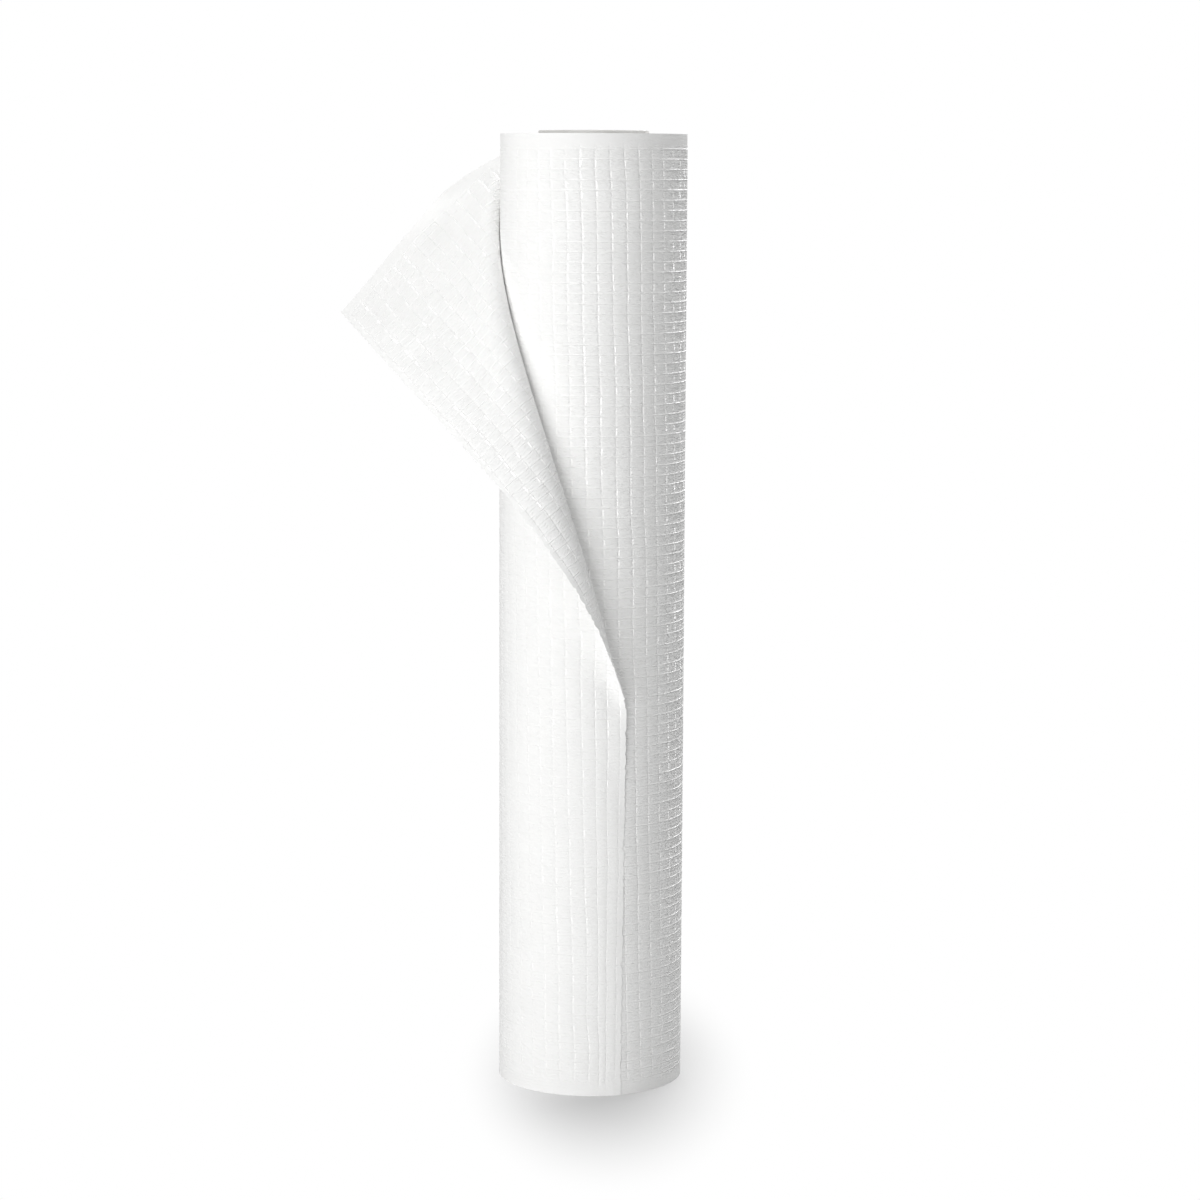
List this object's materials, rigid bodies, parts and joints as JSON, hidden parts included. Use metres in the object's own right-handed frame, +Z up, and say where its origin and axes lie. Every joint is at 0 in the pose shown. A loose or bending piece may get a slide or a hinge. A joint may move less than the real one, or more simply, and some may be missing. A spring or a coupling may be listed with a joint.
{
  "type": "exam table paper roll",
  "caption": "White embossed exam table paper wound on a card core, standing on its end, with the upper corner of its free end peeled back.",
  "frame": {"origin": "on the roll's axis, at the end it stands on", "axes": "+Z up along the roll's axis; -Y is the front, where the free end lies; the peeled corner hangs out towards -X"},
  "size_m": [0.1683, 0.1119, 0.4588],
  "materials": {
    "paper": "matt white embossed scrim-reinforced tissue",
    "core_card": "matt pale wound card"
  },
  "bodies": {
    "root": {"paper_roll": "paper", "core_tube": "core_card"}
  },
  "joints": []
}
